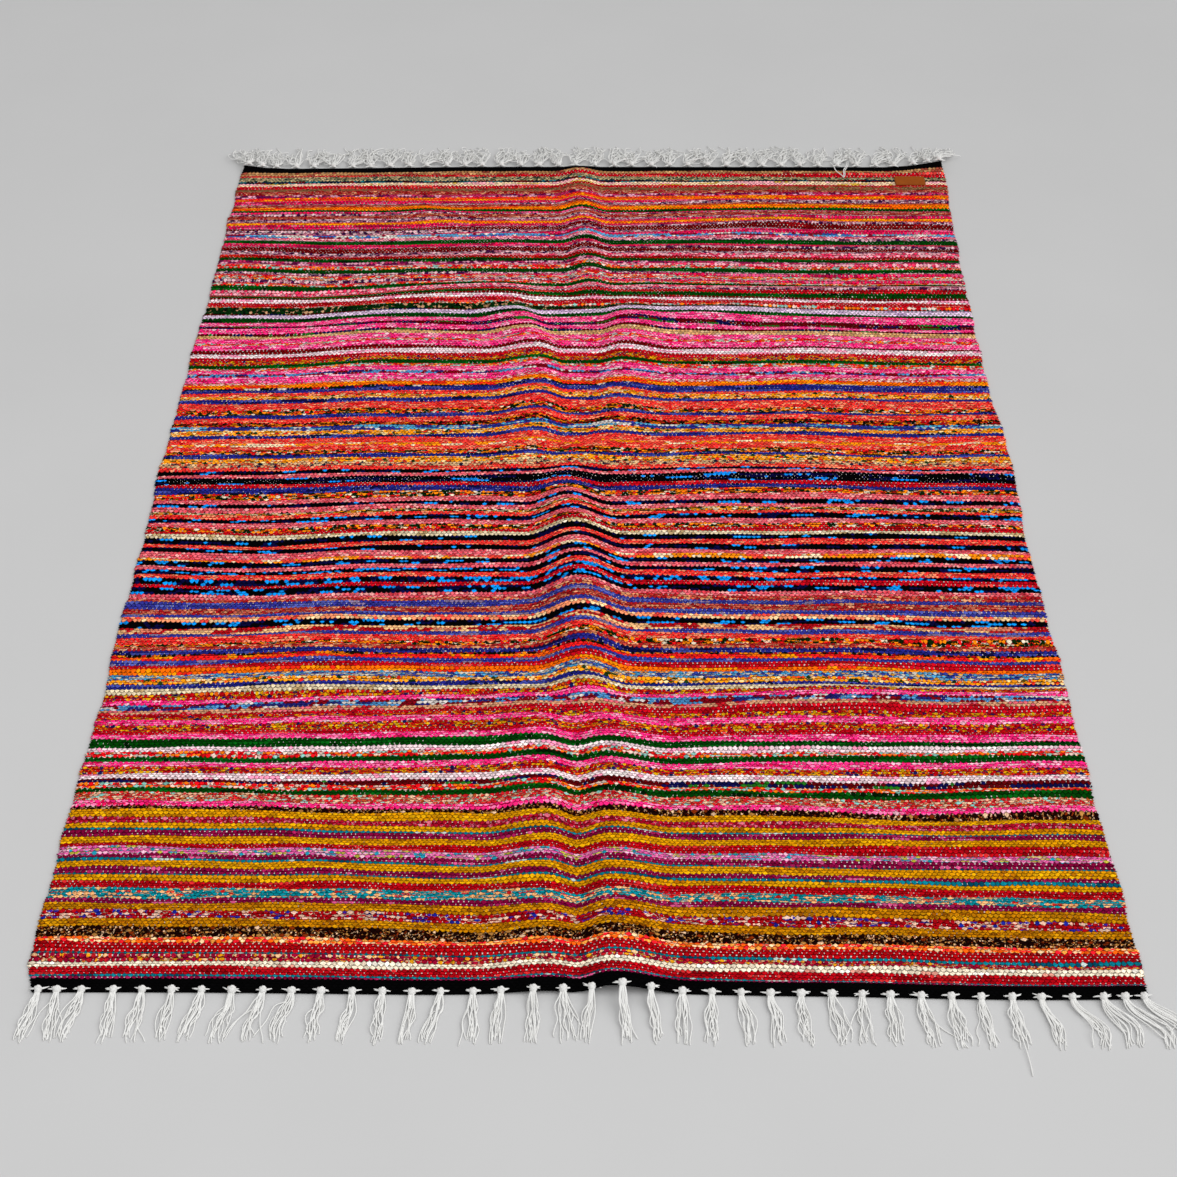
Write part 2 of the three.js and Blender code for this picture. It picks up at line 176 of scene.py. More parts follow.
# The stripes in the order they were woven, from the far end: yarn, width at the left, width at the right
stripes = [
    ("black", 19, 17), ("camel", 12, 9), ("red", 6, 15), ("sage", 16, 11), ("night", 8, 6), ("cream", 10, 13),
    ("red", 13, 6), ("taupe", 8, 14), ("brick", 14, 9), ("plumRose", 10, 10), ("scarlet", 10, 4),
    ("orange", 2, 11), ("rose", 14, 2), ("plumWhite", 2, 12), ("brick", 9, 5), ("orange", 10, 14),
    ("green", 6, 11), ("rose", 7, 2), ("plumWhite", 8, 0), ("brick", 11, 12), ("plumWhite", 12, 2),
    ("rose", 0, 11), ("amber", 8, 10), ("rose", 15, 0), ("plumWhite", 0, 8), ("maroon", 5, 19),
    ("plumWhite", 15, 0), ("rose", 0, 14), ("sky", 11, 9), ("pinkWhite", 10, 8), ("plumWhite", 0, 7),
    ("green", 12, 15), ("rose", 13, 4), ("plumWhite", 0, 10), ("maroon", 15, 10), ("plumWhite", 12, 4),
    ("pinkWhite", 0, 15), ("crimson", 9, 7), ("green", 11, 10), ("plumRose", 12, 4), ("pinkWhite", 0, 11),
    ("confetti", 13, 8), ("green", 11, 13), ("plumWhite", 9, 2), ("rose", 0, 11), ("confetti", 12, 10),
    ("plumWhite", 12, 0), ("rose", 0, 9), ("confetti", 8, 5), ("green", 12, 5), ("pinkWhite", 16, 2),
    ("plumWhite", 0, 9), ("red", 3, 12), ("green", 6, 14), ("maroon", 4, 7), ("palePink", 10, 9),
    ("red", 13, 10), ("confetti", 0, 12), ("mossTan", 19, 0), ("maroonNavy", 3, 0), ("lilac", 10, 15),
    ("green", 13, 7), ("pink", 12, 20), ("maroonNavy", 7, 15), ("pink", 16, 8), ("maroonNavy", 7, 5),
    ("sand", 8, 13), ("pink", 15, 12), ("confetti", 6, 9), ("pink", 14, 15), ("maroon", 12, 5),
    ("palePink", 12, 15), ("red", 10, 9), ("redFleck", 11, 12), ("green", 11, 9), ("confetti", 7, 11),
    ("pink", 11, 14), ("skyMaroon", 9, 8), ("pink", 18, 8), ("redWhite", 5, 9), ("orange", 11, 12),
    ("darkMix", 6, 0), ("indigo", 9, 19), ("coral", 10, 5), ("amberCream", 9, 14), ("indigo", 12, 6),
    ("coral", 18, 22), ("forestAmber", 15, 12), ("indigo", 10, 6), ("coral", 13, 14), ("oliveDark", 10, 13),
    ("indigoSky", 12, 11), ("amberCream", 13, 11), ("indigo", 8, 9), ("coral", 14, 16), ("amberCoral", 8, 8),
    ("coral", 11, 12), ("forestAmber", 10, 13), ("indigo", 10, 6), ("amberCream", 12, 14), ("tanNavy", 11, 10),
    ("coral", 10, 9), ("blackAzure", 9, 4), ("salmon", 9, 7), ("blackDotted", 16, 23), ("red", 8, 11),
    ("indigo", 15, 8), ("forestAmber", 16, 13), ("salmon", 10, 15), ("blackAzure", 8, 12), ("salmon", 13, 8),
    ("oliveCream", 5, 8), ("coral", 10, 7), ("blackAzure", 10, 13), ("salmon", 11, 11), ("forestAmber", 12, 9),
    ("red", 5, 10), ("creamTan", 11, 8), ("nearBlack", 14, 11), ("coral", 9, 13), ("nearBlack", 10, 13),
    ("salmon", 15, 8), ("amberCoral", 6, 11), ("blackAzure", 12, 11), ("salmon", 10, 9), ("blackAzure", 9, 13),
    ("coral", 10, 12), ("azureNavy", 14, 7), ("red", 7, 12), ("blackAzure", 15, 12), ("salmon", 11, 10),
    ("brickTan", 6, 12), ("violet", 15, 7), ("brick", 12, 14), ("violet", 6, 11), ("peach", 10, 10),
    ("blackAzure", 14, 12), ("peachBrick", 13, 11), ("violet", 6, 10), ("coral", 15, 8), ("forestAmber", 6, 14),
    ("brickTan", 8, 9), ("indigo", 9, 10), ("oliveDark", 5, 4), ("scarlet", 7, 8), ("violet", 10, 6),
    ("red", 7, 13), ("orange", 13, 7), ("skyIndigo", 10, 13), ("amberCream", 10, 11), ("indigo", 8, 5),
    ("creamTan", 11, 4), ("redFleck", 14, 7), ("pink", 8, 9), ("skyMaroon", 11, 12), ("rosyTan", 9, 7),
    ("red", 5, 14), ("redFleck", 7, 10), ("pink", 11, 14), ("redFleck", 13, 15), ("red", 7, 7),
    ("pink", 9, 14), ("green", 16, 8), ("palePink", 9, 12), ("confetti", 11, 7), ("green", 9, 12),
    ("pink", 10, 13), ("redFleck", 13, 13), ("palePink", 12, 12), ("maroonNavy", 6, 12), ("confetti", 11, 6),
    ("green", 8, 13), ("redTan", 16, 16), ("pink", 10, 10), ("brownMix", 6, 13), ("mustard", 14, 8),
    ("raspberry", 10, 10), ("mustard", 10, 9), ("teal", 3, 1), ("plum", 11, 9), ("mustard", 12, 11),
    ("garnet", 7, 16), ("orchid", 13, 10), ("plum", 7, 12), ("teal", 4, 0), ("mustard", 11, 14), ("plum", 11, 5),
    ("teal", 0, 6), ("mustard", 11, 8), ("garnet", 11, 13), ("tealPeach", 17, 13), ("plum", 8, 8),
    ("ochre", 12, 16), ("redIndigo", 14, 15), ("ochre", 13, 12), ("brownMix", 17, 15), ("flame", 9, 9),
    ("darkRed", 16, 13), ("teal", 0, 5), ("plumAmber", 13, 6), ("bone", 8, 11), ("garnet", 13, 13),
    ("teal", 3, 1), ("plum", 3, 1), ("black", 20, 19),
]


# sRGB hex to linear red, green and blue
def linear(hexColour):
    value = np.array([int(hexColour[i:i + 2], 16) for i in (1, 3, 5)]) / 255
    return np.where(value <= 0.04045, value / 12.92, ((value + 0.055) / 1.055) ** 2.4)


# Adds one node and gives back one of its outputs, or all with None. Inputs holds numbers, colours or sockets.
def addNode(tree, kind, inputs=None, output=0, **settings):
    node = tree.nodes.new("ShaderNode" + kind)
    for name, value in settings.items():
        setattr(node, name, value)
    for socket, value in (inputs or {}).items():
        if isinstance(value, bpy.types.NodeSocket):
            tree.links.new(value, node.inputs[socket])
        else:
            node.inputs[socket].default_value = value
    return node.outputs if output is None else node.outputs[output]


# A material's own shader with its fixed values set on its sockets
def startMaterial(name, sockets):
    material = bpy.data.materials.new(name)
    material.use_nodes = True
    shader = material.node_tree.nodes["Principled BSDF"]
    for socket, value in sockets.items():
        shader.inputs[socket].default_value = value
    return material, material.node_tree, shader


# Rounded hump: (1 + cos(pi t)) / 2 between -1 and 1, and 0 outside
def hump(t):
    return (1 + np.cos(np.pi * np.clip(t, -1, 1))) / 2


# Design millimetres to metres in the shared frame, set by where the solid of the cloth lies. Near a drawn place the
# cloth moves along by the shift there times a hump of the distance from it.
lowCorner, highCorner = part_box("rug_cloth")
outlineAlong, outlineLeft, outlineRight = np.array(cloth["outline"], float).T
shiftX = (lowCorner.x + highCorner.x) / 2 / mm - (outlineLeft.min() + outlineRight.max()) / 2
shiftY = (lowCorner.y + highCorner.y) / 2 / mm


def place(x, along, z):
    drawn = along
    for drawnX, drawnAlong, shift, reachX, reachAlong in cloth["drawn"]:
        drawn = drawn + shift * hump(np.hypot((x - drawnX) / reachX, (along - drawnAlong) / reachAlong))
    return np.stack([(x + shiftX) * mm, (cloth["length"] / 2 - drawn + shiftY) * mm, z * mm], axis=-1)


# One column of a table read at every millimetre, then averaged with a hump of weights so that no kink shows
def smoothColumn(places, values):
    reach = cloth["creaseBlend"]
    straight = np.interp(np.arange(-reach, cloth["length"] + reach + 1), places, values)
    weight = hump(np.linspace(-1, 1, 2 * reach + 1))
    return np.convolve(straight, weight / weight.sum(), mode="valid")


everyMm = np.arange(cloth["length"] + 1)
creaseTable = np.array(cloth["crease"], float).T
creaseColumns = [smoothColumn(creaseTable[0], column) for column in creaseTable[1:]]


# Height of the underside: a ridge, or two shoulders beside a valley, plus branch folds, each a hump over the
# distance from its line, plus curls, each 1 minus the distance from its point to the power 1.5
def underside(x, along):
    read = [np.interp(along, everyMm, column) for column in creaseColumns]
    ridgeAt, ridgeRise, ridgeSpread, leftAt, leftRise, rightAt, rightRise = read
    leftSpread = np.where(x < leftAt, cloth["shoulderOuter"], cloth["shoulderInner"])
    rightSpread = np.where(x > rightAt, cloth["shoulderOuter"], cloth["shoulderInner"])
    rise = ridgeRise * hump((x - ridgeAt) / ridgeSpread)
    leftHill = leftRise * hump((x - leftAt) / leftSpread)
    rightHill = rightRise * hump((x - rightAt) / rightSpread)
    valley = np.sqrt((leftHill - rightHill) ** 2 + cloth["valleyRound"] ** 2) - cloth["valleyRound"]
    rise = rise + (leftHill + rightHill + valley) / 2  # the higher of the two, rounded where they meet
    for fromX, fromAlong, toX, toAlong, height, spread in cloth["branches"]:
        runX, runAlong = toX - fromX, toAlong - fromAlong
        share = ((x - fromX) * runX + (along - fromAlong) * runAlong) / (runX ** 2 + runAlong ** 2)
        share = np.clip(share, 0, 1)
        away = np.hypot(x - fromX - share * runX, along - fromAlong - share * runAlong)
        rise = rise + height * hump(2 * share - 1) * hump(away / spread)
    for curlX, curlAlong, height, spread in cloth["curls"]:
        away = np.hypot(x - curlX, cloth["curlSharp"] * (along - curlAlong)) / spread
        rise = rise + height * (1 - np.clip(away, 0, 1)) ** 1.5
    return np.maximum(rise, 0)


# Height of the upper face: the underside plus the thickness times the root of one plus the squared slope
def upperFace(x, along):
    here = underside(x, along)
    slopeX = underside(x + 1, along) - here
    slopeAlong = underside(x, along + 1) - here
    return here + cloth["thickness"] * np.sqrt(1 + slopeX ** 2 + slopeAlong ** 2)


# A mesh object at the origin from points in metres and faces of any size
def makePiece(name, points, faces, material):
    mesh = bpy.data.meshes.new(name)
    mesh.from_pydata(points.reshape(-1, 3), [], faces)
    mesh.polygons.foreach_set("use_smooth", np.ones(len(mesh.polygons), bool))
    mesh.materials.append(material)
    mesh.update()
    piece = bpy.data.objects.new(name, mesh)
    scene.collection.objects.link(piece)
    return piece


# Adds a UV map from one pair of numbers for each face corner
def addUv(mesh, name, pairs):
    mesh.uv_layers.new(name=name).data.foreach_set("uv", np.asarray(pairs, np.float32).ravel())


# Camera at the photograph's angle
cameraData = bpy.data.cameras.new("camera")
cameraData.sensor_width = 36
cameraData.lens = 60.13
camera = bpy.data.objects.new("camera", cameraData)
camera.location = (0.008 + shiftX * mm, -2.470 + shiftY * mm, 2.048)
camera.rotation_euler = (math.radians(47.39), math.radians(0.07), math.radians(0.23))
scene.collection.objects.link(camera)
scene.camera = camera
print("camera set")

# Soft daylight: an even room, a broad lamp high up on the near side and a wide window to the right
lamp = {"world": 0.49, "power": 42, "size": 4.0, "at": (0.2, -1.9, 3.5)}
# tilt is degrees from upright, turn degrees round from the near side
window = {"strength": 1.2, "spread": 50, "tilt": 48, "turn": 75}
world = bpy.data.worlds.new("room")
world.use_nodes = True
world.node_tree.nodes["Background"].inputs["Color"].default_value = (1, 1, 1, 1)
world.node_tree.nodes["Background"].inputs["Strength"].default_value = lamp["world"]
scene.world = world
lampData = bpy.data.lights.new("broadLamp", "AREA")
lampData.size = lamp["size"]
lampData.energy = lamp["power"]
lampObject = bpy.data.objects.new("broadLamp", lampData)
lampObject.location = lamp["at"]
windowData = bpy.data.lights.new("window", "SUN")
windowData.energy = window["strength"]
windowData.angle = math.radians(window["spread"])
windowObject = bpy.data.objects.new("window", windowData)
windowObject.rotation_euler = (math.radians(window["tilt"]), 0, math.radians(window["turn"]))
scene.collection.objects.link(lampObject)
scene.collection.objects.link(windowObject)

# Painted screed floor: pale grey, dull, with faint cloudy patches about 400 mm across
floorMaterial, tree, shader = startMaterial("painted screed", {"Roughness": 0.75, "IOR": 1.5})
spot = addNode(tree, "TexCoord", output="Object")
cloud = addNode(tree, "TexNoise", {"Vector": spot, "Scale": 1 / 0.4, "Detail": 5})
paint = addNode(tree, "MixRGB", {0: cloud, 1: (*linear("#cbcbcb"), 1), 2: (*linear("#d2d2d2"), 1)})
tree.links.new(paint, shader.inputs["Base Color"])
floorHalf = 9  # metres
corners = floorHalf * np.array([(-1, -1, 0), (1, -1, 0), (1, 1, 0), (-1, 1, 0)], float)
floor = makePiece("floor", corners, [(0, 1, 2, 3)], floorMaterial)
print("floor and light set")

# Weft-faced flatweave of strips cut from dyed cotton: dull, thick soft bumps 7 mm long that step by half from
# one pick to the next and lap over each other, colours that change in runs, and a white cotton warp that peeps
# out where the weft dips, with painted shade in the dips and a painted highlight on the crests. Sizes and the
# depth of the relief are in millimetres, and each light is a factor.
ragWeave = {
    "unevenSize": 10, "unevenShift": 1.6,  # the shift is in warps
    "lap": 0.22, "lapSize": 6, "lapChange": (0.3, 1.7),  # the lap is in picks
    "fibreSize": 1.7, "fibreLight": (0.6, 1.4), "fibreRelief": 0.35,
    "slant": 0.3, "fray": 0.9, "strands": 4, "layers": 2,  # strands to a bump, layers to a pick
    "pliedBelow": 1.9,  # yarns with shorter runs than this, in bumps, are plied from several colours
    "fleckShare": 0.18, "bumpLight": (0.78, 1.26),
    "roundAcross": 0.8, "roundAlong": 0.38,  # powers of the two arches, rounder when smaller
    # painted shade in the dips and painted highlight on the crests, as a light from dark to bright
    # the gamma deepens the dye colours and the painted shade and highlight together
    "fullHeight": 0.65, "paintedShadeAndHighlight": (0.1, 1.24), "shadeAndDyeDepth": 1.27,
    "dotHalf": (-0.04, 0.13), "dotMargin": 0.25, "dotEdge": 0.04,  # half and edge are in bumps
    "dotArch": (0.5, 0.8), "dotColour": "#f8f0e8",
    "reliefDepth": 1.0, "reliefStrength": 0.8,
}
weave, tree, shader = startMaterial(
    "cotton rag flatweave", {"Roughness": 0.95, "IOR": 1.5, "Specular IOR Level": 0.03}
)
threads = addNode(tree, "SeparateXYZ", {0: addNode(tree, "UVMap", uv_map="weave")}, output=None)
pickAt = threads[1]
fibreSpot = addNode(tree, "TexCoord", output="Object")
# the warps stand unevenly, about half a pitch to either side, so no two bumps are quite alike
unevenScale = 1 / (ragWeave["unevenSize"] * mm)
uneven = addNode(tree, "TexNoise", {"Vector": fibreSpot, "Scale": unevenScale, "Detail": 1})
warpAt = addNode(tree, "Math", {0: uneven, 1: ragWeave["unevenShift"], 2: threads[0]}, operation="MULTIPLY_ADD")
row = addNode(tree, "Math", {0: pickAt}, operation="FLOOR")
inRow = addNode(tree, "Math", {0: pickAt}, operation="FRACT")
# a bump is wider than its row and laps over the two rows beside it: lap = size cos(pi warp), turned on odd rows
swing = addNode(tree, "Math", {0: warpAt, 1: math.pi}, operation="MULTIPLY")
swing = addNode(tree, "Math", {0: swing}, operation="COSINE")
oddRow = addNode(tree, "Math", {0: row, 1: 2.0}, operation="MODULO")
turned = addNode(tree, "Math", {0: oddRow, 1: -2 * ragWeave["lap"], 2: ragWeave["lap"]}, operation="MULTIPLY_ADD")
lap = addNode(tree, "Math", {0: swing, 1: turned}, operation="MULTIPLY")
lapChange = addNode(tree, "TexNoise", {"Vector": fibreSpot, "Scale": 1 / (ragWeave["lapSize"] * mm), "Detail": 0})
least, most = ragWeave["lapChange"]
lapChange = addNode(tree, "MapRange", {
    "Value": lapChange, "From Min": 0.25, "From Max": 0.75, "To Min": least, "To Max": most,
})
lap = addNode(tree, "Math", {0: lap, 1: lapChange}, operation="MULTIPLY")
below = addNode(tree, "Math", {0: inRow, 1: lap}, operation="LESS_THAN")
farSide = addNode(tree, "Math", {0: inRow, 1: lap}, operation="ADD")
above = addNode(tree, "Math", {0: farSide, 1: 1.0}, operation="GREATER_THAN")
onNext = addNode(tree, "Math", {0: above, 1: below}, operation="ADD")
step = addNode(tree, "Math", {0: above, 1: below}, operation="SUBTRACT")
pick = addNode(tree, "Math", {0: row, 1: step}, operation="ADD")
# place across the pick, 0 to 1 between its own two edges
flip = addNode(tree, "Math", {0: onNext, 1: -2.0, 2: 1.0}, operation="MULTIPLY_ADD")
ownLap = addNode(tree, "Math", {0: lap, 1: flip}, operation="MULTIPLY")
fromRow = addNode(tree, "Math", {0: inRow, 1: step}, operation="SUBTRACT")
fromEdge = addNode(tree, "Math", {0: fromRow, 1: ownLap}, operation="SUBTRACT")
pickWidth = addNode(tree, "Math", {0: ownLap, 1: -2.0, 2: 1.0}, operation="MULTIPLY_ADD")
acrossPick = addNode(tree, "Math", {0: fromEdge, 1: pickWidth}, operation="DIVIDE", use_clamp=True)
oddPick = addNode(tree, "Math", {0: pick, 1: 2.0}, operation="MODULO")
stepped = addNode(tree, "Math", {0: warpAt, 1: oddPick}, operation="ADD")
halved = addNode(tree, "Math", {0: stepped, 1: 0.5}, operation="MULTIPLY")  # two warps to a bump
bump = addNode(tree, "Math", {0: halved}, operation="FLOOR")
alongBump = addNode(tree, "Math", {0: halved}, operation="FRACT")
fibre = addNode(tree, "TexNoise", {"Vector": fibreSpot, "Scale": 1 / (ragWeave["fibreSize"] * mm), "Detail": 2})
# strands: four to a bump, slanting with the twist of the strip, with a frayed edge
slant = addNode(tree, "Math", {0: acrossPick, 1: ragWeave["slant"], 2: stepped}, operation="MULTIPLY_ADD")
frayed = addNode(tree, "Math", {0: fibre, 1: ragWeave["fray"], 2: slant}, operation="MULTIPLY_ADD")
strand = addNode(tree, "Math", {0: frayed, 1: ragWeave["strands"] / 2}, operation="MULTIPLY")
strand = addNode(tree, "Math", {0: strand}, operation="FLOOR")
layer = addNode(tree, "Math", {0: acrossPick, 1: ragWeave["layers"], 2: fibre}, operation="MULTIPLY_ADD")
layer = addNode(tree, "Math", {0: layer}, operation="FLOOR")
dyes, shares = [], []
for k in ("1", "2", "3", "4"):
    own = addNode(tree, "Attribute", attribute_name="yarn" + k, output=None)
    beside = addNode(tree, "Attribute", attribute_name="beside" + k, output=None)
    dyes.append(addNode(tree, "MixRGB", {0: onNext, 1: own["Color"], 2: beside["Color"]}))
    shares.append(addNode(tree, "Mix", {0: onNext, 2: own["Alpha"], 3: beside["Alpha"]}))
pickChance = addNode(tree, "TexWhiteNoise", {"W": pick}, noise_dimensions="1D")
# a yarn plied from several colours changes with every strand, in two or three layers across the pick, any other from
# one bump to the next
isPlied = addNode(tree, "Math", {0: shares[3], 1: ragWeave["pliedBelow"]}, operation="LESS_THAN")
strandShare = addNode(tree, "Math", {0: strand, 1: 1 / ragWeave["strands"]}, operation="MULTIPLY")
runPlace = addNode(tree, "Mix", {0: isPlied, 2: bump, 3: strandShare})
runPlace = addNode(tree, "Math", {0: runPlace, 1: shares[3]}, operation="DIVIDE")
runPlace = addNode(tree, "Math", {0: runPlace, 1: pickChance}, operation="ADD")
run = addNode(tree, "Math", {0: runPlace}, operation="FLOOR")
plyLayer = addNode(tree, "Math", {0: layer, 1: isPlied}, operation="MULTIPLY")
runCell = addNode(tree, "CombineXYZ", {0: run, 1: pick, 2: plyLayer})
runChance = addNode(tree, "TexWhiteNoise", {"Vector": runCell}, noise_dimensions="3D")
bumpCell = addNode(tree, "CombineXYZ", {0: bump, 1: pick, 2: 0.5})
bumpNoise = addNode(tree, "TexWhiteNoise", {"Vector": bumpCell}, noise_dimensions="3D", output=None)
bumpParts = addNode(tree, "SeparateXYZ", {0: bumpNoise["Color"]}, output=None)
isFleck = addNode(tree, "Math", {0: bumpParts[0], 1: ragWeave["fleckShare"]}, operation="LESS_THAN")
chance = addNode(tree, "Mix", {0: isFleck, 2: runChance, 3: bumpParts[1]})
colour = dyes[0]
for share, dye in zip(shares, dyes[1:]):
    passed = addNode(tree, "Math", {0: chance, 1: share}, operation="GREATER_THAN")
    colour = addNode(tree, "MixRGB", {0: passed, 1: colour, 2: dye})
# each bump a little lighter or darker, as dyed strips are
least, most = ragWeave["bumpLight"]
lightness = addNode(tree, "MapRange", {"Value": bumpParts[2], "To Min": least, "To Max": most})
least, most = ragWeave["fibreLight"]
fibreLight = addNode(tree, "MapRange", {
    "Value": fibre, "From Min": 0.3, "From Max": 0.7, "To Min": least, "To Max": most,
})
lightness = addNode(tree, "Math", {0: lightness, 1: fibreLight}, operation="MULTIPLY")
# height of the weft: an arch across the pick times a flatter arch along the bump. Painted shade darkens the
# colour where the weft dips, and a painted highlight lightens it on the crest.
archAcross = addNode(tree, "Math", {0: acrossPick, 1: math.pi}, operation="MULTIPLY")
archAcross = addNode(tree, "Math", {0: archAcross}, operation="SINE")
archAlong = addNode(tree, "Math", {0: alongBump, 1: math.pi}, operation="MULTIPLY")
archAlong = addNode(tree, "Math", {0: archAlong}, operation="SINE")
heightAcross = addNode(tree, "Math", {0: archAcross, 1: ragWeave["roundAcross"]}, operation="POWER")
heightAlong = addNode(tree, "Math", {0: archAlong, 1: ragWeave["roundAlong"]}, operation="POWER")
height = addNode(tree, "Math", {0: heightAcross, 1: heightAlong}, operation="MULTIPLY")
least, most = ragWeave["paintedShadeAndHighlight"]
paintedLight = addNode(tree, "MapRange", {
    "Value": height, "From Max": ragWeave["fullHeight"], "To Min": least, "To Max": most,
})
lightness = addNode(tree, "Math", {0: lightness, 1: paintedLight}, operation="MULTIPLY")
colour = addNode(tree, "MixRGB", {0: 1.0, 1: colour, 2: lightness}, blend_type="MULTIPLY")
colour = addNode(tree, "Gamma", {0: colour, 1: ragWeave["shadeAndDyeDepth"]})  # a gamma that deepens the dyed colours and, with them, the painted shade in the dips
# the warp shows as a dot up to 2 mm wide where the weft dips under it, in the middle of the pick
dipAway = addNode(tree, "Math", {0: alongBump, 1: 0.5}, operation="PINGPONG")
showing = addNode(tree, "Attribute", attribute_name="warpShow", output="Fac")
margin = addNode(tree, "Math", {0: showing, 1: bumpNoise["Value"]}, operation="SUBTRACT")
least, most = ragWeave["dotHalf"]
dotHalf = addNode(tree, "MapRange", {
    "Value": margin, "From Max": ragWeave["dotMargin"], "To Min": least, "To Max": most,
})
dotAlong = addNode(tree, "Math", {0: dotHalf, 1: dipAway}, operation="SUBTRACT")
dotAlong = addNode(tree, "MapRange", {"Value": dotAlong, "From Max": ragWeave["dotEdge"]})
least, most = ragWeave["dotArch"]
dotAcross = addNode(tree, "MapRange", {"Value": archAcross, "From Min": least, "From Max": most})
dot = addNode(tree, "Math", {0: dotAlong, 1: dotAcross}, operation="MULTIPLY")
colour = addNode(tree, "MixRGB", {0: dot, 1: colour, 2: (*linear(ragWeave["dotColour"]), 1)})
tree.links.new(colour, shader.inputs["Base Color"])
fuzzy = addNode(tree, "Math", {0: fibre, 1: ragWeave["fibreRelief"], 2: height}, operation="MULTIPLY_ADD")
relief = addNode(tree, "Bump", {
    "Height": fuzzy, "Distance": ragWeave["reliefDepth"] * mm, "Strength": ragWeave["reliefStrength"],
})
tree.links.new(relief, shader.inputs["Normal"])
print("weave material set")

# Stripe edges: running sums of the widths, blended from left to right, that wander by a sum of slow waves
rng = np.random.default_rng(cloth["seed"])
fineX = np.linspace(-240, 160, 41)
columnX = np.concatenate([
    [-700, -697.5, -691], np.linspace(-675, -240, 17)[:-1], fineX[:-1], np.linspace(160, 675, 20),
    [691, 697.5, 700],
])
names = [stripe[0] for stripe in stripes]
leftWidth, rightWidth = np.array([stripe[1:] for stripe in stripes], float).T
rightShare = np.clip((columnX + cloth["chartX"]) / (2 * cloth["chartX"]), -0.1, 1.1)
widths = leftWidth[:, None] + (rightWidth - leftWidth)[:, None] * rightShare
widths = np.maximum(widths, cloth["thinnest"])
widths *= cloth["length"] / widths.sum(axis=0)
edges = np.concatenate([np.zeros((1, len(columnX))), np.cumsum(widths, axis=0)])
waves = np.zeros((len(stripes) - 1, len(columnX)))
for waveLength in (160, 290, 520):
    phase = rng.uniform(0, 2 * np.pi, (len(stripes) - 1, 1))
    waves += np.sin(2 * np.pi * columnX / (waveLength * rng.uniform(0.8, 1.25, phase.shape)) + phase) / 3
edges[1:-1] += waves * np.minimum(cloth["wander"], 0.4 * np.minimum(widths[:-1], widths[1:]))
# neighbouring stripes sway together: three slanting waves that die out at both ends
sway = np.zeros_like(edges)
for acrossLength, alongLength in ((420, 700), (690, -430), (1150, 900)):
    sway += np.sin(2 * np.pi * (columnX / acrossLength + edges / alongLength) + rng.uniform(0, 2 * np.pi))
edges += cloth["sway"] * sway * np.minimum(1, np.minimum(edges, cloth["length"] - edges) / 150)

# Picks: each stripe holds a whole number of weft yarns of uneven width, side by side
pickCount = np.maximum(1, np.round((leftWidth + rightWidth) / 2 / cloth["pickPitch"])).astype(int)
stripeOf = np.repeat(np.arange(len(stripes)), pickCount)
firstPick = np.cumsum(pickCount) - pickCount
yarnWidth = rng.uniform(0.75, 1.25, len(stripeOf))
before = np.cumsum(yarnWidth) - yarnWidth
stripeYarn = np.add.reduceat(yarnWidth, firstPick)
inStripe = ((before - before[firstPick][stripeOf]) / stripeYarn[stripeOf])[:, None]
valleys = edges[stripeOf] + (edges[stripeOf + 1] - edges[stripeOf]) * inStripe
valleys = np.concatenate([valleys, edges[-1:]])
picks, columns = len(stripeOf), len(columnX)
rows = 2 * picks + 1
along = np.zeros((rows, columns))
along[0::2] = valleys
along[1::2] = (valleys[:-1] + valleys[1:]) / 2
isCrest = (np.arange(rows) % 2 == 1)[:, None]

# The upper grid: columns share out the width, and the pick crests stand above the valleys
left = np.interp(along, everyMm, smoothColumn(outlineAlong, outlineLeft))
right = np.interp(along, everyMm, smoothColumn(outlineAlong, outlineRight))
gridX = left + (columnX / cloth["width"] + 0.5) * (right - left)
turn = np.where(isCrest, cloth["turnBulge"], -0.4) + rng.normal(0, 0.5, (rows, 1))
sideShare = np.clip((np.abs(columnX) - 690) / 10, 0, 1)
# at the sides each stripe ends a little short or long, on top of three slow waves
stepOut = cloth["sideStep"] * rng.normal(0, 1, (len(stripes), 2))
rowStripe = stripeOf[np.minimum(np.arange(rows) // 2, picks - 1)]
for waveLength in (110, 190, 330):
    phase = rng.uniform(0, 2 * np.pi, 2)
    stepOut = stepOut + 1.1 * np.sin(2 * np.pi * edges[:-1, [0, -1]] / waveLength + phase)
turn = turn + np.where(columnX < 0, stepOut[rowStripe, :1], stepOut[rowStripe, 1:])
gridX += np.sign(columnX) * sideShare * turn
low = underside(gridX, along)
pickWide = np.repeat(np.diff(valleys, axis=0), 2, axis=0) / cloth["pickPitch"]
pickWide = np.clip(np.concatenate([pickWide, pickWide[-1:]]), 0.3, 1.3)
ribs = np.where(isCrest, cloth["crestRise"], -cloth["valleyDrop"]) * pickWide
sideDrop = np.interp(np.abs(columnX), [690, 697.5, 700], [0, -0.7, -2])
endAway = np.minimum(along, cloth["length"] - along)
endDrop = np.interp(endAway, [0, 2, 6], [-2, -0.5, 0])
high = upperFace(gridX, along) + ribs + np.minimum(sideDrop, endDrop)
upperPoints = place(gridX, along, high)

# The lower grid: one row for each valley and every second or third column
kept = np.unique(np.concatenate([
    [0, 1, 2], np.arange(3, 19, 3), np.arange(19, 59, 2), np.arange(59, columns - 3, 3),
    np.arange(columns - 3, columns),
]))
lowRim = np.interp(np.abs(columnX[kept]), [690, 697.5, 700], [0, 0.5, 1.8])
lowEnd = np.interp(endAway[0::2][:, kept], [0, 2, 6], [1.4, 0.3, 0])
lowX, lowAlong, lowZ = (grid[0::2][:, kept] for grid in (gridX, along, low))
lowerPoints = place(lowX, lowAlong, lowZ + np.maximum(lowRim, lowEnd))

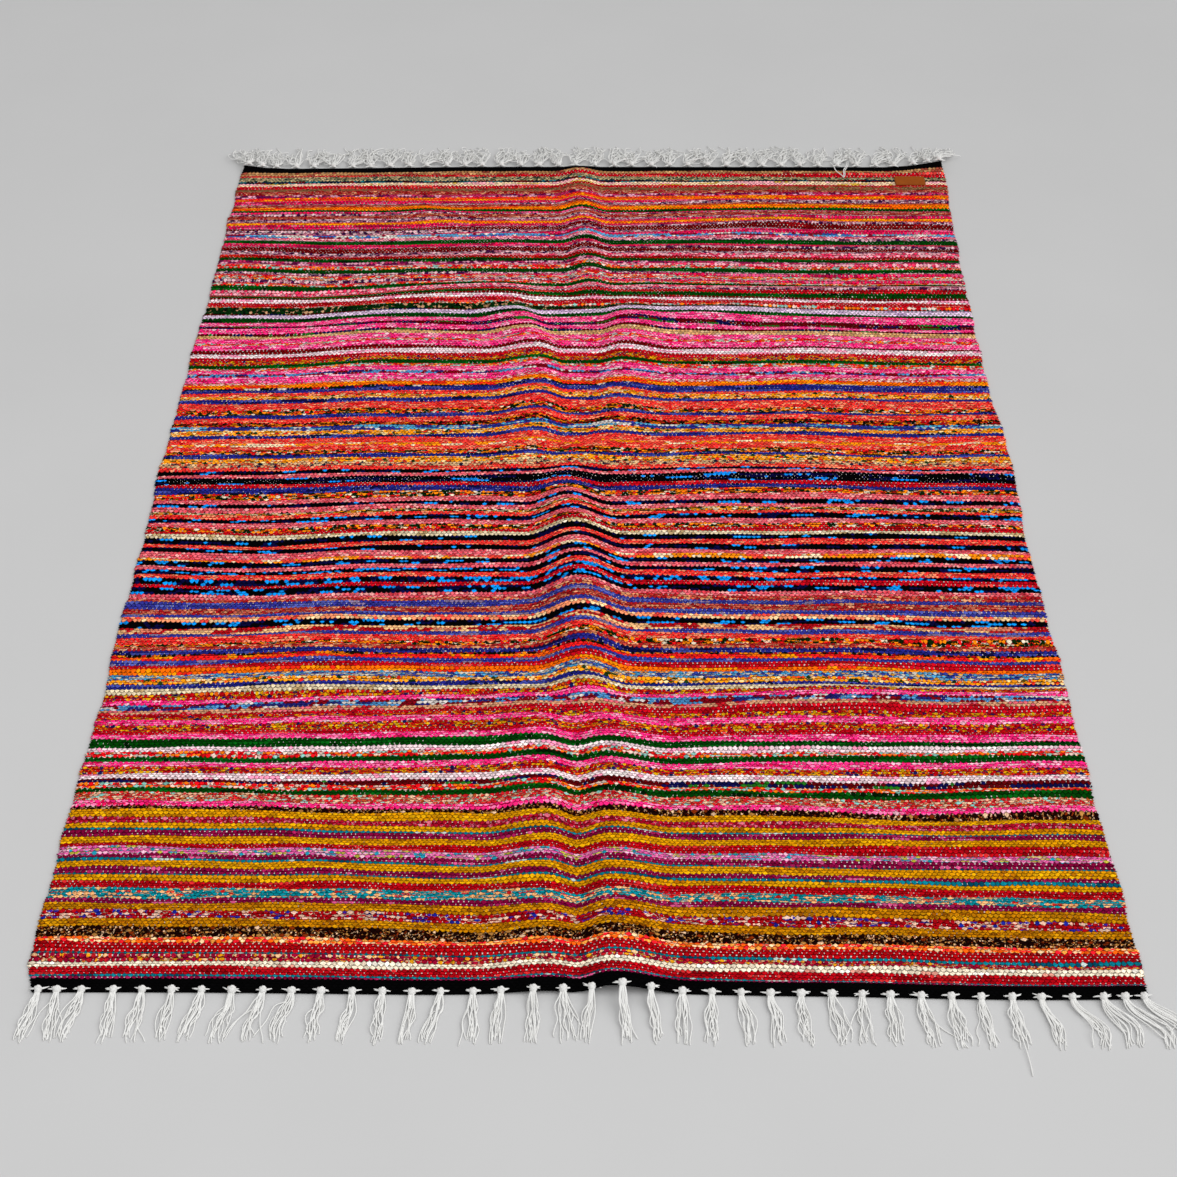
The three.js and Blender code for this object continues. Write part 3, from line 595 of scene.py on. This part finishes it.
# Faces by group: upper, lower, left side, right side, far end, near end
upperIndex = np.arange(rows * columns).reshape(rows, columns)
lowerIndex = rows * columns + np.arange((picks + 1) * len(kept)).reshape(picks + 1, len(kept))
upperFaces = np.stack([upperIndex[1:, :-1], upperIndex[1:, 1:], upperIndex[:-1, 1:], upperIndex[:-1, :-1]], -1)
lowerFaces = np.stack([lowerIndex[:-1, :-1], lowerIndex[:-1, 1:], lowerIndex[1:, 1:], lowerIndex[1:, :-1]], -1)
sideFaces = [
    np.stack([
        lowerIndex[first, k], lowerIndex[second, k], upperIndex[fourth, c], upperIndex[1::2, c], upperIndex[third, c],
    ], -1)
    for k, c, first, second, third, fourth in (
        (0, 0, slice(None, -1), slice(1, None), slice(0, -2, 2), slice(2, None, 2)),
        (-1, -1, slice(1, None), slice(None, -1), slice(2, None, 2), slice(0, -2, 2)),
    )
]
spans = list(zip(range(len(kept) - 1), kept[:-1], kept[1:]))
farFaces = [[*lowerIndex[0, [k + 1, k]], *upperIndex[0, a:b + 1]] for k, a, b in spans]
nearFaces = [[*lowerIndex[-1, [k, k + 1]], *upperIndex[-1, a:b + 1][::-1]] for k, a, b in spans]
groups = [upperFaces.reshape(-1, 4).tolist(), lowerFaces.reshape(-1, 4).tolist(), sideFaces[0].tolist(),
          sideFaces[1].tolist(), farFaces, nearFaces]
pickOfFace = np.concatenate([
    np.repeat(np.arange(2 * picks) // 2, columns - 1), np.repeat(np.arange(picks), len(kept) - 1),
    np.arange(picks), np.arange(picks), np.zeros(len(spans), int), np.full(len(spans), picks - 1),
])
clothFaces = [face for group in groups for face in group]
clothPoints = np.concatenate([upperPoints.reshape(-1, 3), lowerPoints.reshape(-1, 3)])
rug = makePiece("rug", clothPoints, clothFaces, weave)

# Thread numbers for the weave, and a flat layout for a baked picture with the upper face largest
cornerPoint = np.array([index for face in clothFaces for index in face])
cornerGroup = np.repeat(np.repeat(np.arange(6), [len(g) for g in groups]), [len(face) for face in clothFaces])
rowPick = np.repeat(np.arange(rows) / 2, columns)
threadPair = np.stack([np.tile(columnX / cloth["warpPitch"], rows), rowPick], -1)
lowerX = np.tile(columnX[kept], picks + 1)
lowerPair = np.stack([lowerX / cloth["warpPitch"], np.repeat(np.arange(picks + 1), len(kept))], -1)
firstWarp = cloth["width"] / 2 / cloth["warpPitch"]
addUv(rug.data, "weave", np.concatenate([threadPair, lowerPair])[cornerPoint] + (firstWarp, 0))
flatX = np.concatenate([np.tile(columnX, rows), lowerX])[cornerPoint] / cloth["width"] + 0.5
flatY = 1 - np.concatenate([along.ravel(), lowAlong.ravel()])[cornerPoint] / cloth["length"]
isLower = cornerPoint >= rows * columns
narrowU = flatX * 0.276 + 0.702
fullV = flatY * 0.998 + 0.001
layoutU = np.choose(cornerGroup, [
    flatX * 0.697 + 0.001, narrowU, 0.982 + 0.004 * isLower, 0.990 + 0.004 * isLower, narrowU, narrowU,
])
layoutV = np.choose(cornerGroup, [
    fullV, flatY * 0.394 + 0.001, fullV, fullV, 0.402 + 0.004 * isLower, 0.412 + 0.004 * isLower,
])
addUv(rug.data, "OFBake", np.stack([layoutU, layoutV], -1))

# Four colours for each face, with the running shares beside them, and the run length in the last place
wound = np.zeros((len(stripes), 4, 4))
for winding, name in zip(wound, names):
    runLength, _, *strips = yarns[name]
    running = np.cumsum([part for _, part in strips])
    winding[:, :3] = [linear(strips[min(k, len(strips) - 1)][0]) for k in range(4)]
    winding[:3, 3] = [running[min(k, len(strips) - 1)] for k in range(3)]
    winding[3, 3] = runLength
warpShow = np.array([yarns[name][1] for name in names])
stripeOfFace = stripeOf[pickOfFace]
besideFace = pickOfFace + 1  # the pick that laps over a face: the one before on a far half, else the one after
besideFace[:2 * picks * (columns - 1)] -= np.repeat(np.tile([2, 0], picks), columns - 1)
besideStripe = stripeOf[np.clip(besideFace, 0, picks - 1)]
for prefix, stripe in (("yarn", stripeOfFace), ("beside", besideStripe)):
    for k in range(4):
        attribute = rug.data.attributes.new(f"{prefix}{k + 1}", "FLOAT_COLOR", "FACE")
        attribute.data.foreach_set("color", wound[stripe, k].astype(np.float32).ravel())
attribute = rug.data.attributes.new("warpShow", "FLOAT", "FACE")
attribute.data.foreach_set("value", warpShow[stripeOfFace].astype(np.float32))
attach(rug, "root")
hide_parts("rug_cloth")
print("rug woven:", picks, "picks,", len(clothFaces), "faces")

# Undyed cotton string, plied and loosely twisted: matt, warm white, with a fine slanting twist every 2 mm and painted
# shade in its grooves
cotton, tree, shader = startMaterial(
    "undyed cotton string", {"Roughness": 0.9, "IOR": 1.5, "Specular IOR Level": 0.2, "Sheen Weight": 0.15},
)
twist = addNode(tree, "SeparateXYZ", {0: addNode(tree, "UVMap", uv_map="twist")}, output=None)
slant = addNode(tree, "Math", {0: twist[1], 1: 1 / 2.0, 2: twist[0]}, operation="MULTIPLY_ADD")
ply = addNode(tree, "Math", {0: slant, 1: 0.5}, operation="PINGPONG")
spot = addNode(tree, "TexCoord", output="Object")
patchy = addNode(tree, "TexNoise", {"Vector": spot, "Scale": 1 / 0.012, "Detail": 3})
cottonMix = addNode(tree, "MixRGB", {0: patchy, 1: (*linear("#ebeae7"), 1), 2: (*linear("#fcfcfa"), 1)})
# painted shade: the grooves between the plies are darkened to 0.92 of the colour
paintedPlyShade = addNode(tree, "MapRange", {"Value": ply, "From Max": 0.3, "To Min": 0.92, "To Max": 1.0})
cottonMix = addNode(tree, "MixRGB", {0: 1.0, 1: cottonMix, 2: paintedPlyShade}, blend_type="MULTIPLY")
tree.links.new(cottonMix, shader.inputs["Base Color"])
relief = addNode(tree, "Bump", {"Height": ply, "Distance": 0.4 * mm, "Strength": 0.7})
tree.links.new(relief, shader.inputs["Normal"])


# Tubes round many paths at once: each ring is the path point plus the radius times side cos a plus up sin a,
# where side is level and square to the path and up is square to both. Gives points, faces and twist pairs.
def tubes(paths, radii, sides):
    tangent = np.gradient(paths, axis=1)
    tangent /= np.linalg.norm(tangent, axis=-1, keepdims=True)
    side = np.cross(tangent, [0, 0, 1])
    side /= np.maximum(np.linalg.norm(side, axis=-1, keepdims=True), 1e-6)
    up = np.cross(side, tangent)
    angle = 2 * np.pi * np.arange(sides) / sides
    ring = np.cos(angle)[:, None] * side[:, :, None] + np.sin(angle)[:, None] * up[:, :, None]
    points = paths[:, :, None] + radii[:, :, None, None] * ring
    count, stations = paths.shape[:2]
    index = np.arange(count * stations * sides).reshape(count, stations, sides)
    beside = np.roll(index, -1, axis=2)
    quads = np.stack([index[:, :-1], index[:, 1:], beside[:, 1:], beside[:, :-1]], -1).reshape(-1, 4)
    steps = np.linalg.norm(np.diff(paths, axis=1), axis=-1) / mm
    run = np.concatenate([np.zeros((count, 1)), np.cumsum(steps, axis=1)], axis=1)
    pairs = np.stack(np.broadcast_arrays(np.arange(sides) / sides, run[:, :, None]), -1).reshape(-1, 2)
    return points.reshape(-1, 3), [*quads.tolist(), *index[:, 0].tolist(), *index[:, -1, ::-1].tolist()], pairs


# Knots: a ball of half sizes a, b, c whose radius swells along three slanting wraps,
# 1 + swell cos(3 turn + 4 tilt)
def knots(centres, halfSizes, swell, turns, tilts):
    turn = 2 * np.pi * np.arange(turns) / turns
    tilt = np.linspace(0.25, np.pi - 0.25, tilts)[:, None]
    ball = np.stack(np.broadcast_arrays(np.sin(tilt) * np.cos(turn), np.sin(tilt) * np.sin(turn), np.cos(tilt)), -1)
    ball = ball * (1 + swell * np.cos(3 * turn + 4 * tilt))[..., None]
    points = centres[:, None, None] + halfSizes[:, None, None] * ball
    index = np.arange(len(centres) * tilts * turns).reshape(len(centres), tilts, turns)
    beside = np.roll(index, -1, axis=2)
    quads = np.stack([index[:, :-1], index[:, 1:], beside[:, 1:], beside[:, :-1]], -1).reshape(-1, 4)
    pairs = np.stack(np.broadcast_arrays(turn / (2 * np.pi) * 8, tilt * 4), -1)
    pairs = np.tile(pairs.reshape(-1, 2), (len(centres), 1))
    return points.reshape(-1, 3), [*quads.tolist(), *index[:, 0].tolist(), *index[:, -1, ::-1].tolist()], pairs


# Repeatable uneven value from -1 to 1 for whole numbers
def scatter(index):
    wave = np.sin(index * 12.9898) * 43758.5453
    return 2 * (wave - np.floor(wave)) - 1


# Each end in millimetres: how far the strings of a bundle reach and part, which way the row leans and sweeps at
# its corners, and how the strings curl and lift. stray is a share of the strings, long is the one long string's x
# and its extra length.
fringes = [
    {
        "name": "fringeNear", "node": "fringe_near", "along": 2000, "outwards": 1, "seed": 11, "strings": 11,
        "root": 2.4, "knotOut": -1.2, "wingOut": -3, "reach": 67, "uneven": 7, "lean": (-13, 10), "pairing": 0,
        "sweep": (9, 38), "fan": 6.2, "curl": 2.3, "lift": 1.5, "stray": 0.07, "long": (540, 42), "flopped": [],
    },
    {
        "name": "fringeFar", "node": "fringe_far", "along": 0, "outwards": -1, "seed": 47, "strings": 17,
        "root": 7, "knotOut": 5.2, "wingOut": 0.8, "reach": 55, "uneven": 20, "lean": (-6, 10), "pairing": 6,
        "sweep": (-14, 6), "fan": 11, "curl": 5, "lift": 9, "stray": 0.5, "long": (-330, 16),
        # strands that fell back over the cloth: from x, to x, to along
        "flopped": [(511, 498, 44), (508, 496, 41), (475, 497, 45)],
    },
]
bundle = {
    "count": 39, "inset": 5, "jitter": 2.2, "stations": 15, "radius": 0.88, "sides": 5,
    "leanJitter": 9, "swept": 5, "strayThrow": 18, "floorLift": 2.6,  # swept counts bundles from a corner
    "wing": (8, 12), "wingSides": 6, "wingRise": 5.2, "knot": 5.2, "knotRise": 7, "knotSwell": 0.18,
}
gaps = np.ones(bundle["count"] - 1)  # the bundles stand closer together next to the corners
gaps[[0, 1, -2, -1]] = (0.65, 0.86, 0.78, 0.62)

for end in fringes:
    rng = np.random.default_rng(end["seed"])
    count, strings = bundle["count"], end["strings"]
    order = np.arange(count)
    seeds = end["seed"] + order * 8
    spread = np.concatenate([[0], np.cumsum(gaps)]) / gaps.sum()
    leftEdge = np.interp(end["along"], outlineAlong, outlineLeft)
    rightEdge = np.interp(end["along"], outlineAlong, outlineRight)
    knotX = leftEdge + bundle["inset"] + (rightEdge - leftEdge - 2 * bundle["inset"]) * spread
    knotX += bundle["jitter"] * scatter(seeds) * ((spread > 0) & (spread < 1))
    sweep = end["sweep"][0] * np.clip(1 - order / bundle["swept"], 0, 1)
    sweep = sweep + end["sweep"][1] * np.clip(1 - (count - 1 - order) / bundle["swept"], 0, 1)
    lean = end["lean"][0] + (end["lean"][1] - end["lean"][0]) * spread
    lean = lean + bundle["leanJitter"] * scatter(seeds + 1) + sweep
    lean = lean + end["pairing"] * np.where(order % 2, -1, 1) * (1 + 0.6 * scatter(seeds + 2))
    base = underside(knotX, np.full(count, float(end["along"])))
    # strings: a bundle swings over to its lean, its strings part, waver and come down to the floor
    q = np.linspace(0, 1, bundle["stations"])
    shape = (count, strings, 1)
    reach = end["reach"] + end["uneven"] * rng.uniform(-1, 1, shape)
    reach[np.argmin(np.abs(knotX - end["long"][0])), strings // 2] += end["long"][1]
    swung = hump(np.clip(q / rng.uniform(0.6, 1.3, (count, 1, 1)), 0, 1) - 1)
    rank = np.linspace(-1, 1, strings)[None, :, None]
    fan = end["fan"] * rng.uniform(0.55, 1.3, (count, 1, 1)) * (rank + rng.normal(0, 0.3, shape))
    parted = np.sin(np.pi / 2 * np.clip(1.6 * q, 0, 1)) * (1 - rng.uniform(-0.1, 0.5, (count, 1, 1)) * q)
    isStray = rng.uniform(0, 1, shape) < end["stray"]
    strayX = np.where(isStray, rng.normal(0, bundle["strayThrow"], shape), 0) * q ** 1.3
    waver = end["curl"] * rng.uniform(0.4, 1.3, shape)
    waver = waver * np.sin(2 * np.pi * (rng.uniform(0.6, 2.4, shape) * q + rng.uniform(0, 1, shape)))
    apart = end["root"] * rank + fan * parted + strayX + waver * np.minimum(1, 3 * q)
    middleX = knotX[:, None, None] + lean[:, None, None] * swung
    heading = np.arctan2(np.gradient(middleX, q, axis=2), end["reach"])  # the bundle's turn from straight out
    stringX = middleX + apart * np.cos(heading)
    stringOut = end["knotOut"] + 1.8 + reach * q - apart * np.sin(heading) + 0.8 * waver * np.sin(5 * q)
    floorZ = bundle["radius"] + rng.uniform(0, bundle["floorLift"], shape) * np.maximum(np.sin(np.pi * q), 0) ** 0.5
    liftZ = end["lift"] * rng.uniform(0, 1, shape) * np.sin(np.pi * q ** 0.8)
    fallZ = (base[:, None, None] + 6) * np.exp(-(reach * q / (10 + base[:, None, None])) ** 1.5)
    paths = place(stringX, end["along"] + end["outwards"] * stringOut, floorZ + liftZ + fallZ)
    paths = paths.reshape(-1, bundle["stations"], 3)
    radii = np.full(paths.shape[:2], bundle["radius"] * mm) * np.linspace(1, 0.9, bundle["stations"])
    made = [tubes(paths, radii, bundle["sides"])]
    for fromX, toX, toAlong in end["flopped"]:
        flopX = fromX + (toX - fromX) * q + 1.5 * np.sin(9 * q)
        flopAlong = -6 + (toAlong + 6) * q
        flopZ = upperFace(flopX, np.maximum(flopAlong, 0)) + 1.8 + 4 * (1 - q) ** 2
        flopPath = place(flopX, flopAlong, flopZ)[None]
        made.append(tubes(flopPath, np.full(flopPath.shape[:2], bundle["radius"] * mm), bundle["sides"]))
    # wings: the gathered warp running sideways into the knot along the edge of the cloth
    w = np.linspace(-1, 1, 9)
    pair = (count, 2, 1)
    wingHalf = rng.uniform(*bundle["wing"], pair)
    wingX = knotX[:, None, None] + wingHalf * w + rng.normal(0, 1, pair)
    wingOut = end["wingOut"] + rng.uniform(-1.5, 0.5, pair) + 2.2 * (1 - np.abs(w))
    wingOut = wingOut + rng.normal(0, 1.5, pair) * w * np.abs(w)
    wingZ = base[:, None, None] + bundle["wingRise"] + 1.2 * (1 - w ** 2) + 0 * wingX
    wingPaths = place(wingX, end["along"] + end["outwards"] * wingOut, wingZ).reshape(-1, 9, 3)
    wingRadii = np.full(wingPaths.shape[:2], mm) * (0.45 + 0.95 * (1 - w ** 2))
    made.append(tubes(wingPaths, wingRadii, bundle["wingSides"]))
    # knots
    knotAlong = end["along"] + end["outwards"] * np.full(count, end["knotOut"])
    centres = place(knotX, knotAlong, base + bundle["knotRise"])
    halfSizes = bundle["knot"] * rng.uniform(0.82, 1.08, (count, 3)) * mm
    made.append(knots(centres, halfSizes, bundle["knotSwell"], 14, 9))
    starts = np.cumsum([0] + [len(part[0]) for part in made])
    points = np.concatenate([part[0] for part in made])
    faces = [[index + start for index in face] for part, start in zip(made, starts) for face in part[1]]
    pairs = np.concatenate([part[2] for part in made])
    piece = makePiece(end["name"], points, faces, cotton)
    addUv(piece.data, "twist", pairs[[index for face in faces for index in face]])
    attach(piece, "root")
    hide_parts(end["node"])
    print(end["name"], "made:", len(faces), "faces")

# Vegetable-tanned leather, cut bare: warm brown, fine pebbled grain under 1 mm, darker along the cut edge
patch = {"x": 628, "along": 56, "width": 60, "height": 33, "thickness": 1.6, "clear": 0.5}
leather, tree, shader = startMaterial(
    "vegetable-tanned leather", {"Roughness": 0.7, "IOR": 1.48, "Specular IOR Level": 0.12}
)
spot = addNode(tree, "TexCoord", output="Object")
grain = addNode(tree, "TexVoronoi", {"Vector": spot, "Scale": 1 / 0.0009})
stain = addNode(tree, "TexNoise", {"Vector": spot, "Scale": 1 / 0.011, "Detail": 4})
hide = addNode(tree, "MixRGB", {0: stain, 1: (*linear("#8a4006"), 1), 2: (*linear("#a8560e"), 1)})
edgeAway = addNode(tree, "UVMap", uv_map="edge")
edgeAway = addNode(tree, "SeparateXYZ", {0: edgeAway})
worn = addNode(tree, "MapRange", {"Value": edgeAway, "From Max": 1.6, "To Min": 0.5, "To Max": 0})
hide = addNode(tree, "MixRGB", {0: worn, 1: hide, 2: (*linear("#6e3206"), 1)})
tree.links.new(hide, shader.inputs["Base Color"])
relief = addNode(tree, "Bump", {"Height": grain, "Distance": 0.15 * mm, "Strength": 0.6})
tree.links.new(relief, shader.inputs["Normal"])

# A thin slab that lies on the cloth: the upper face drops by a rounded edge, and its corners are rounded off
u, v = np.meshgrid(np.linspace(-1, 1, 41), np.linspace(-1, 1, 25))
cornerTrim = 1 - 0.035 * (np.abs(u * v) ** 8)
patchX = patch["x"] + u * patch["width"] / 2 * cornerTrim
patchAlong = patch["along"] + v * patch["height"] / 2 * cornerTrim
edgeGap = np.minimum((1 - np.abs(u)) * patch["width"] / 2, (1 - np.abs(v)) * patch["height"] / 2)
bed = upperFace(patchX, patchAlong) + patch["clear"]
crown = patch["thickness"] - 0.6 * np.exp(-edgeGap / 0.9)
hideFaces = [place(patchX, patchAlong, z).reshape(-1, 3) for z in (bed + crown, bed)]
face = np.arange(u.size).reshape(u.shape)
back = face + u.size
around = np.concatenate([face[0, :-1], face[:-1, -1], face[-1, :0:-1], face[:0:-1, 0]])
patchFaces = [
    *np.stack([face[1:, :-1], face[1:, 1:], face[:-1, 1:], face[:-1, :-1]], -1).reshape(-1, 4).tolist(),
    *np.stack([back[:-1, :-1], back[:-1, 1:], back[1:, 1:], back[1:, :-1]], -1).reshape(-1, 4).tolist(),
    *np.stack([around, np.roll(around, -1), np.roll(around, -1) + u.size, around + u.size], -1).tolist(),
]
label = makePiece("leatherPatch", np.concatenate(hideFaces), patchFaces, leather)
edgePair = np.tile(np.stack([edgeGap.ravel(), edgeGap.ravel()], -1), (2, 1))
addUv(label.data, "edge", edgePair[[index for f in patchFaces for index in f]])
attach(label, "root")
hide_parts("leather_patch")

# Waxed linen thread: brown, near the hide in colour, with a dull shine and a few darker lengths 6 mm long
thread, tree, shader = startMaterial(
    "waxed linen thread", {"Roughness": 0.5, "IOR": 1.5, "Specular IOR Level": 0.2}
)
spot = addNode(tree, "TexCoord", output="Object")
wax = addNode(tree, "TexNoise", {"Vector": spot, "Scale": 1 / 0.006, "Detail": 2})
waxed = addNode(tree, "MixRGB", {0: wax, 1: (*linear("#6e3a12"), 1), 2: (*linear("#8f5420"), 1)})
tree.links.new(waxed, shader.inputs["Base Color"])

# Stitches: short threads that arch up out of the leather, 2.5 mm in from the edge
stitch = {"inset": 2.5, "length": 3.4, "pitch": 4.6, "radius": 0.35, "rise": 0.45}
halfW, halfH = patch["width"] / 2 - stitch["inset"], patch["height"] / 2 - stitch["inset"]
alongTop = np.arange(-halfW + 2, halfW - 1, stitch["pitch"])
alongSide = np.arange(-halfH + 2, halfH - 1, stitch["pitch"])
t = np.linspace(-0.5, 0.5, 7)
stitchX = np.concatenate([np.tile(alongTop, 2), np.repeat([-halfW, halfW], len(alongSide))])
stitchA = np.concatenate([np.repeat([-halfH, halfH], len(alongTop)), np.tile(alongSide, 2)])
runsAcross = np.arange(len(stitchX)) < 2 * len(alongTop)
threadX = patch["x"] + stitchX[:, None] + np.where(runsAcross, 1, 0)[:, None] * t * stitch["length"]
threadA = patch["along"] + stitchA[:, None] + np.where(runsAcross, 0, 1)[:, None] * t * stitch["length"]
threadZ = upperFace(threadX, threadA) + patch["clear"] + patch["thickness"] - 0.35 + stitch["rise"] * hump(2 * t)
threadRadii = np.full(threadX.shape, stitch["radius"] * mm)
threadPoints, threadFaces, _ = tubes(place(threadX, threadA, threadZ), threadRadii, 5)
stitches = makePiece("patchStitches", threadPoints, threadFaces, thread)
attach(stitches, "root")
print("leather patch sewn on")
